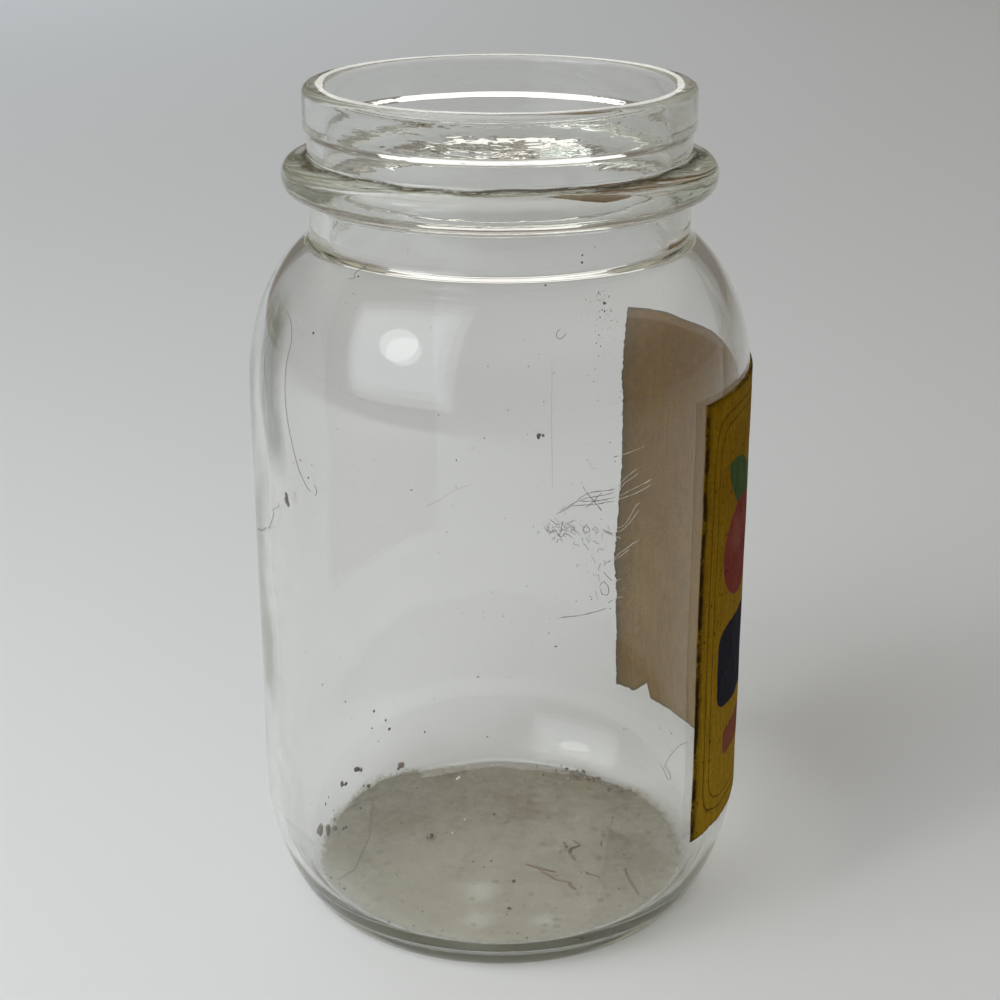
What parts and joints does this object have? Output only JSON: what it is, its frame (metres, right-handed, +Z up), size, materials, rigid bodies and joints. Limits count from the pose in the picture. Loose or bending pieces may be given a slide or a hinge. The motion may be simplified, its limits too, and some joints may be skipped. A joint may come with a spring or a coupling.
{
  "type": "jam jar",
  "caption": "Empty clear glass jar with a wide mouth, a round collar bead, sloping shoulders and a worn paper label wrapped round one side.",
  "frame": {"origin": "centre of the foot ring, on the surface that the jar stands on", "axes": "+Z up along the jar's axis; -Y is the front; the label starts 50 degrees to the right of the front and runs round to the back over +X"},
  "size_m": [0.1006, 0.1, 0.17],
  "materials": {
    "glass": "clear, glossy, dusty, with a dried brown film on the inner floor",
    "label_paper": "worn matte paper, printed mustard yellow outside, bare brown inside"
  },
  "bodies": {
    "root": {"jar": "glass", "label": "label_paper"}
  },
  "joints": []
}
